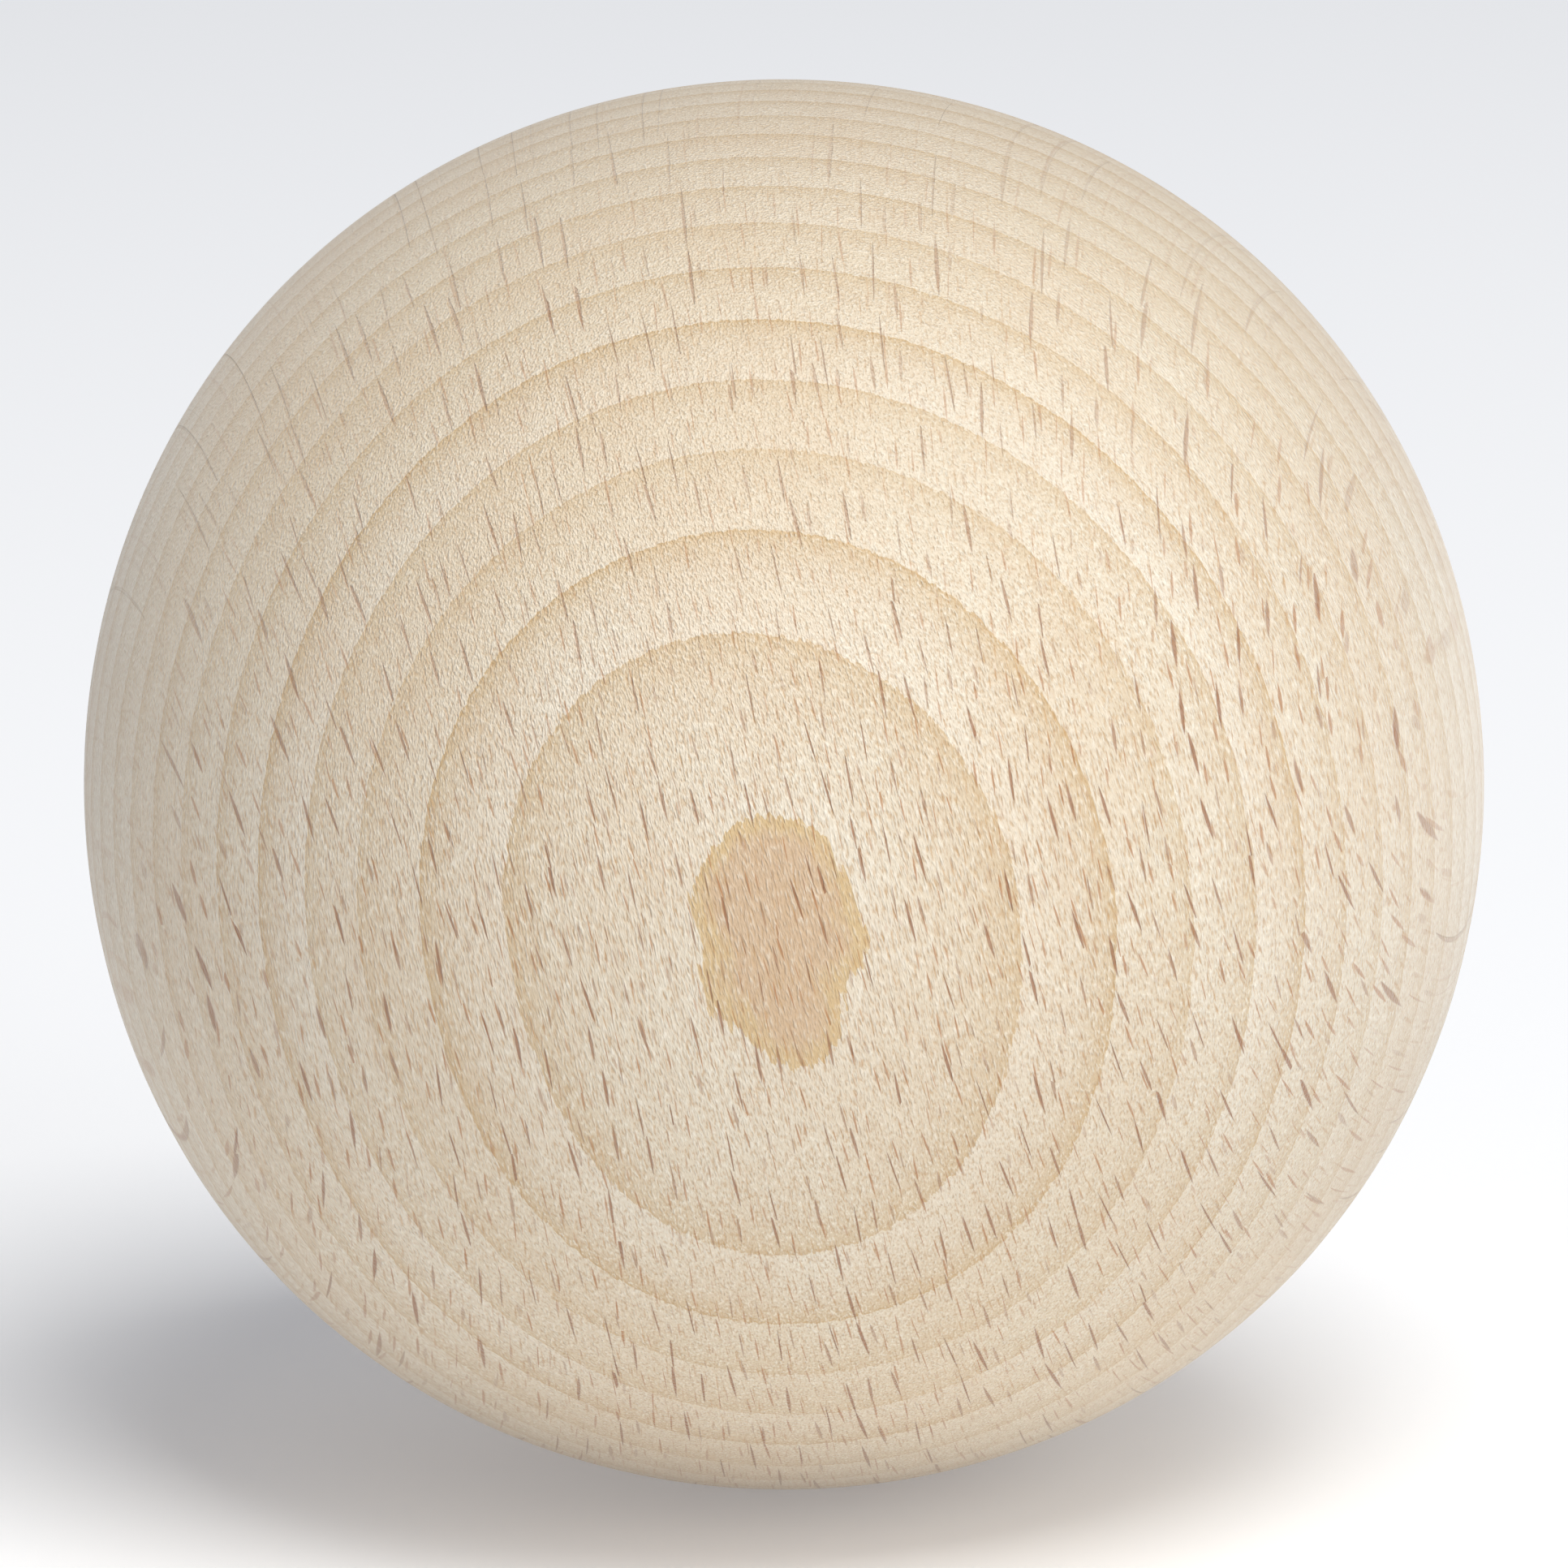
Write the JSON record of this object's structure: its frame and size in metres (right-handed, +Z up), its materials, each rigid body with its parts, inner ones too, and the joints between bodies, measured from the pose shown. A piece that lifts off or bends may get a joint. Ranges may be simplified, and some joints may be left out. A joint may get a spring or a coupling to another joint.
{
  "type": "wooden ball",
  "caption": "Solid round ball turned from pale hardwood, bare and sanded, for craft work, toys, finials, pulls and bench jigs.",
  "frame": {"origin": "centre of the ball", "axes": "+Z up, along the axis the ball was turned on; the grain leans about 14 degrees from +Z towards -X; -Y faces out of the flat-sawn side, where the growth rings close round one small oval"},
  "size_m": [0.0496, 0.0496, 0.05],
  "materials": {
    "beech": "bare beech, sanded and left unsealed"
  },
  "bodies": {
    "root": {"ball": "beech"}
  },
  "joints": []
}
